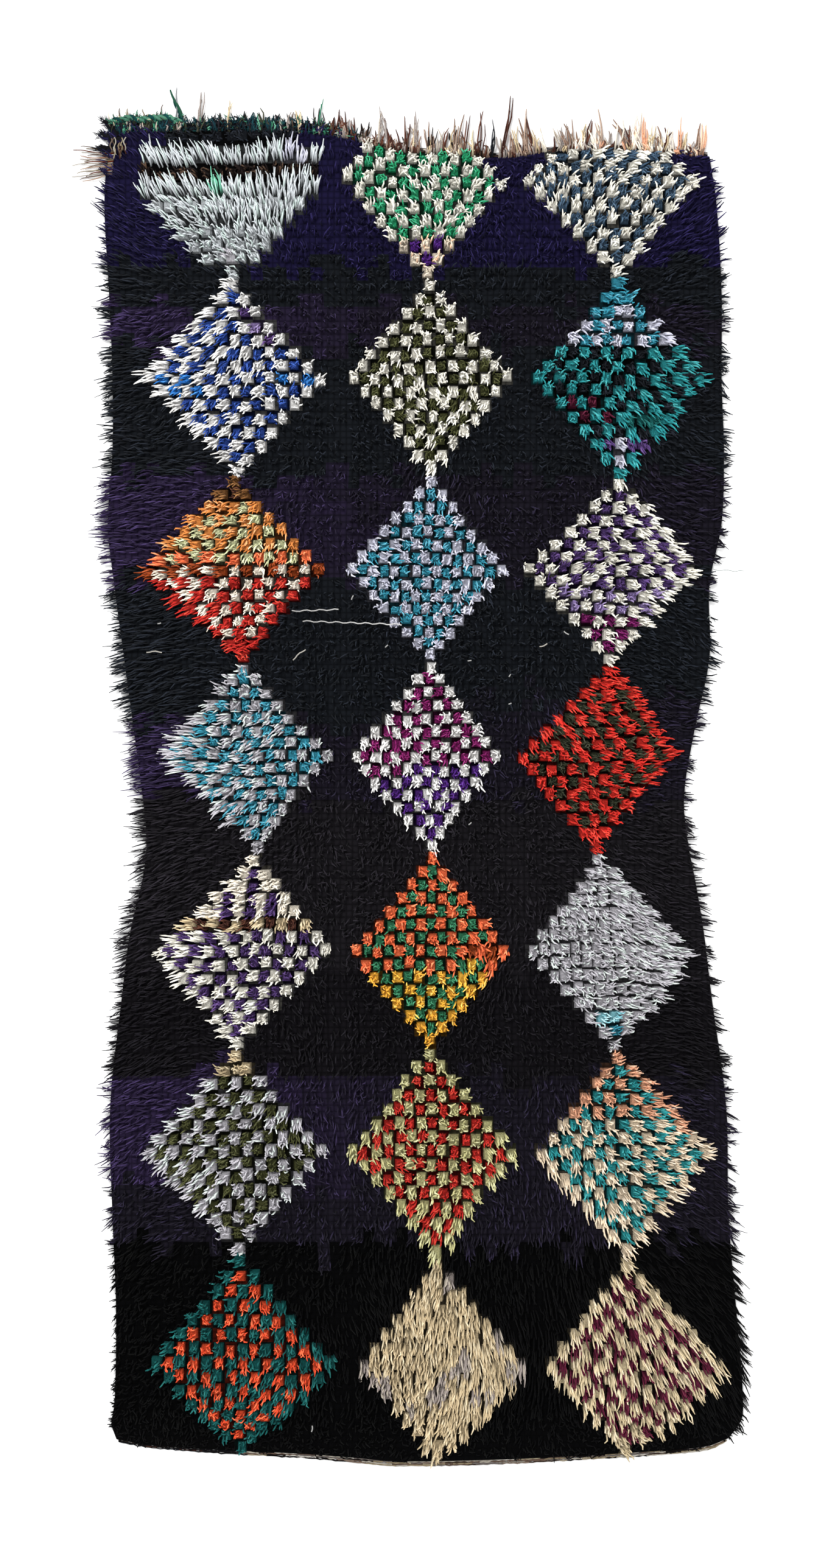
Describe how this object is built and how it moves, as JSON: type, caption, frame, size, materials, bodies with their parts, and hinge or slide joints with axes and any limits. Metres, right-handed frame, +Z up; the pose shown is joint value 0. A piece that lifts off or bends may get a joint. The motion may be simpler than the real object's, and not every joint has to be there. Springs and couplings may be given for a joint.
{
  "type": "berber rug",
  "caption": "Long hand-knotted shag rug in wool, with stepped lozenges on a dark ground, a fringed warp end and a flat-woven plain end, lying flat with its pile up.",
  "frame": {"origin": "middle of the rug's whole outline, fringes included, on the floor that it lies on", "axes": "+Z up out of the pile, +Y along the warps towards the fringed end, +X to the right seen from above with the fringed end away from the viewer"},
  "size_m": [1.1856, 2.3948, 0.022],
  "materials": {
    "pile": "long knotted wool pile, near-black to plum, with lozenges in mixed dyes",
    "fringe": "blue-black woven heading with brown and cream warp ends",
    "green_yarn": "thick twisted green wool",
    "plain_weave": "flat weft-faced weave, dark brown with cream picks",
    "tuft": "felted black wool",
    "weft": "fine loose cotton wefts, cream with a reddish root"
  },
  "bodies": {
    "root": {"pile_body": "pile", "warp_fringe": "fringe", "green_end_yarn": "green_yarn", "plain_heading": "plain_weave", "corner_tufts": "tuft", "weft_tail": "weft"}
  },
  "joints": []
}
